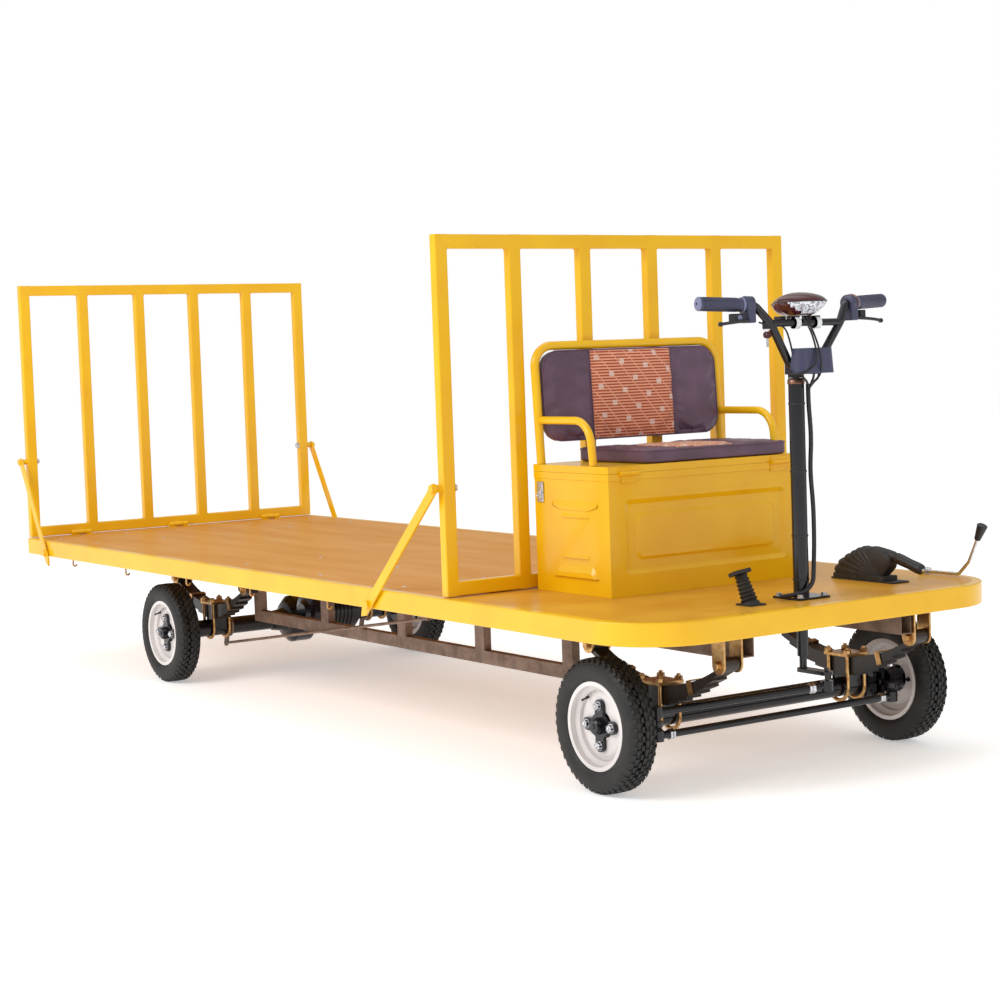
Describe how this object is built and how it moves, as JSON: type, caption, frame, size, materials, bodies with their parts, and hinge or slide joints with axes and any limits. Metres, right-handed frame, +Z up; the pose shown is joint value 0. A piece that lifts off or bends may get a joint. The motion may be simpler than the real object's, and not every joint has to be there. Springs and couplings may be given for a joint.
{
  "type": "electric platform truck",
  "caption": "Long flat four-wheeled works truck with a battery bench seat, handlebar steering column and folding tubular gates at both ends of its load deck.",
  "frame": {"origin": "on the ground under the middle of the deck", "axes": "+X forward, +Y to the left, +Z up"},
  "size_m": [4, 1.3404, 1.48],
  "materials": {
    "yellow_paint": "gloss enamel",
    "ochre_plate": "gloss enamel",
    "deck_board": "satin wood sheet",
    "frame_primer": "matt primer",
    "black_paint": "gloss black",
    "zinc": "yellow zinc plate",
    "chrome": "polished",
    "black_plastic": "moulded",
    "black_rubber": "matt",
    "leather": "soft grain",
    "rim_paint": "gloss white",
    "tyre": "matt"
  },
  "bodies": {
    "chassis": {"deck_rim": "yellow_paint", "deck_board": "deck_board", "front_deck_plate": "ochre_plate", "frame_rails": "frame_primer", "cross_members": "frame_primer", "truss_chords": "frame_primer", "truss_posts": "frame_primer", "leaf_springs": "black_paint", "spring_hangers": "zinc", "axle_clamps": "zinc", "front_axle": "black_paint", "rear_axle": "black_paint", "drive_motor": "black_paint", "bench_box": "yellow_paint", "battery": "black_plastic", "gate_hinges": "yellow_paint", "steering_column": "black_paint", "column_cable": "black_rubber", "handbrake": "black_plastic", "brake_pedal": "black_plastic", "shift_lever": "chrome", "brake_rods": "frame_primer", "rope_hooks": "zinc"},
    "seat": {"seat_lid": "yellow_paint", "back_frame": "yellow_paint", "armrests": "yellow_paint", "seat_cushion": "leather", "back_cushion": "leather"},
    "front_gate": {"front_gate": "yellow_paint"},
    "rear_gate": {"rear_gate": "yellow_paint"},
    "stay_front_right": {"stay_front_right": "yellow_paint"},
    "stay_front_left": {"stay_front_left": "yellow_paint"},
    "stay_rear_right": {"stay_rear_right": "yellow_paint"},
    "stay_rear_left": {"stay_rear_left": "yellow_paint"},
    "steering": {"steering_shaft": "black_paint", "handlebar": "black_paint", "bar_cover": "black_plastic", "meter": "black_plastic"},
    "knuckle_right": {"knuckle_right": "black_paint"},
    "knuckle_left": {"knuckle_left": "black_paint"},
    "tie_rod": {"tie_rod": "black_paint"},
    "drag_link": {"drag_link": "black_paint"},
    "wheel_front_right": {"tyre_front_right": "tyre", "wheel_front_right": "rim_paint", "hub_front_right": "black_paint"},
    "wheel_front_left": {"tyre_front_left": "tyre", "wheel_front_left": "rim_paint", "hub_front_left": "black_paint"},
    "wheel_rear_right": {"tyre_rear_right": "tyre", "wheel_rear_right": "rim_paint", "hub_rear_right": "black_paint"},
    "wheel_rear_left": {"tyre_rear_left": "tyre", "wheel_rear_left": "rim_paint", "hub_rear_left": "black_paint"}
  },
  "joints": [
    {"name": "seat_hinge", "type": "hinge", "parent": "chassis", "child": "seat", "pos_m": [1.478, 0, 0.811], "axis": [0, 1, 0], "range_deg": [0, 55]},
    {"name": "front_gate_hinge", "type": "hinge", "parent": "chassis", "child": "front_gate", "pos_m": [1.062, 0, 0.486], "axis": [0, -1, 0], "range_deg": [0, 90]},
    {"name": "rear_gate_hinge", "type": "hinge", "parent": "chassis", "child": "rear_gate", "pos_m": [-1.959, 0, 0.486], "axis": [0, 1, 0], "range_deg": [0, 90]},
    {"name": "stay_front_right_pivot", "type": "hinge", "parent": "chassis", "child": "stay_front_right", "pos_m": [0.708, -0.658, 0.428], "axis": [0, -1, 0], "range_deg": [0, 137.4]},
    {"name": "stay_front_left_pivot", "type": "hinge", "parent": "chassis", "child": "stay_front_left", "pos_m": [0.708, 0.658, 0.428], "axis": [0, -1, 0], "range_deg": [0, 137.4]},
    {"name": "stay_rear_right_pivot", "type": "hinge", "parent": "chassis", "child": "stay_rear_right", "pos_m": [-1.775, -0.658, 0.428], "axis": [0, 1, 0], "range_deg": [0, 121]},
    {"name": "stay_rear_left_pivot", "type": "hinge", "parent": "chassis", "child": "stay_rear_left", "pos_m": [-1.775, 0.658, 0.428], "axis": [0, 1, 0], "range_deg": [0, 121]},
    {"name": "steering", "type": "hinge", "parent": "chassis", "child": "steering", "pos_m": [1.847, 0, 0.7], "axis": [0, 0, 1], "range_deg": [-30, 30]},
    {"name": "knuckle_right_pin", "type": "hinge", "parent": "chassis", "child": "knuckle_right", "pos_m": [1.659, -0.42, 0.1785], "axis": [0, 0, 1], "range_deg": [-30, 30]},
    {"name": "knuckle_left_pin", "type": "hinge", "parent": "chassis", "child": "knuckle_left", "pos_m": [1.659, 0.42, 0.1785], "axis": [0, 0, 1], "range_deg": [-30, 30]},
    {"name": "tie_rod_ball", "type": "hinge", "parent": "knuckle_right", "child": "tie_rod", "pos_m": [1.749, -0.42, 0.148], "axis": [0, 0, 1], "range_deg": [-30, 30]},
    {"name": "drag_link_ball", "type": "hinge", "parent": "steering", "child": "drag_link", "pos_m": [1.937, 0, 0.25], "axis": [0, 0, 1], "range_deg": [-30, 30]},
    {"name": "wheel_front_right_spin", "type": "hinge", "parent": "knuckle_right", "child": "wheel_front_right", "pos_m": [1.659, -0.521, 0.1785], "axis": [0, 1, 0], "continuous": true},
    {"name": "wheel_front_left_spin", "type": "hinge", "parent": "knuckle_left", "child": "wheel_front_left", "pos_m": [1.659, 0.521, 0.1785], "axis": [0, 1, 0], "continuous": true},
    {"name": "wheel_rear_right_spin", "type": "hinge", "parent": "chassis", "child": "wheel_rear_right", "pos_m": [-0.953, -0.521, 0.1785], "axis": [0, 1, 0], "continuous": true},
    {"name": "wheel_rear_left_spin", "type": "hinge", "parent": "chassis", "child": "wheel_rear_left", "pos_m": [-0.953, 0.521, 0.1785], "axis": [0, 1, 0], "continuous": true}
  ],
  "couplings": [
    {"joint": "stay_front_right_pivot", "follows": "front_gate_hinge", "ratio": 1.5244},
    {"joint": "stay_front_left_pivot", "follows": "front_gate_hinge", "ratio": 1.5244},
    {"joint": "stay_rear_right_pivot", "follows": "rear_gate_hinge", "ratio": 1.3422},
    {"joint": "stay_rear_left_pivot", "follows": "rear_gate_hinge", "ratio": 1.3422},
    {"joint": "knuckle_right_pin", "follows": "steering", "ratio": 1},
    {"joint": "knuckle_left_pin", "follows": "steering", "ratio": 1},
    {"joint": "tie_rod_ball", "follows": "steering", "ratio": -1},
    {"joint": "drag_link_ball", "follows": "steering", "ratio": -1}
  ]
}
